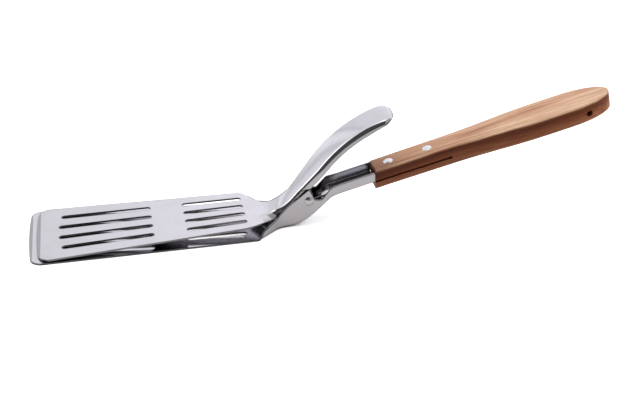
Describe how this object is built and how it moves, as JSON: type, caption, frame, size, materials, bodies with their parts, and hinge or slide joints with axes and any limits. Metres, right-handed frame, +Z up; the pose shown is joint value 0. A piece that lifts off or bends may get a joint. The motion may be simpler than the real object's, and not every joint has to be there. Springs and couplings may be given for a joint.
{
  "type": "fish spatula",
  "caption": "Slotted steel fish spatula with a second slotted blade above it that a thumb lever lifts on a sprung hinge, and a riveted wooden handle with a hanging hole.",
  "frame": {"origin": "on the underside of the lower blade, on the centre line, midway between its two groups of slots", "axes": "+X from the blades towards the handle, +Y across, +Z up when the lower blade lies flat"},
  "size_m": [0.3485, 0.0578, 0.0757],
  "materials": {
    "blade_steel": "bright polished stainless sheet",
    "rivet_steel": "satin",
    "spring_steel": "drawn wire",
    "handle_wood": "oiled close-grained hardwood"
  },
  "bodies": {
    "handle_body": {"lower_blade": "blade_steel", "pivot_pin": "rivet_steel", "torsion_spring": "spring_steel", "handle": "handle_wood", "front_rivet": "rivet_steel", "rear_rivet": "rivet_steel"},
    "lever_body": {"upper_blade": "blade_steel"}
  },
  "joints": [
    {"name": "blade_hinge", "type": "hinge", "parent": "handle_body", "child": "lever_body", "pos_m": [0.082, 0, 0.017], "axis": [0, 1, 0], "range_deg": [0, 26], "stiffness_Nm_per_rad": 0.25, "springref_deg": -34.38, "deforming": ["torsion_spring"]}
  ]
}
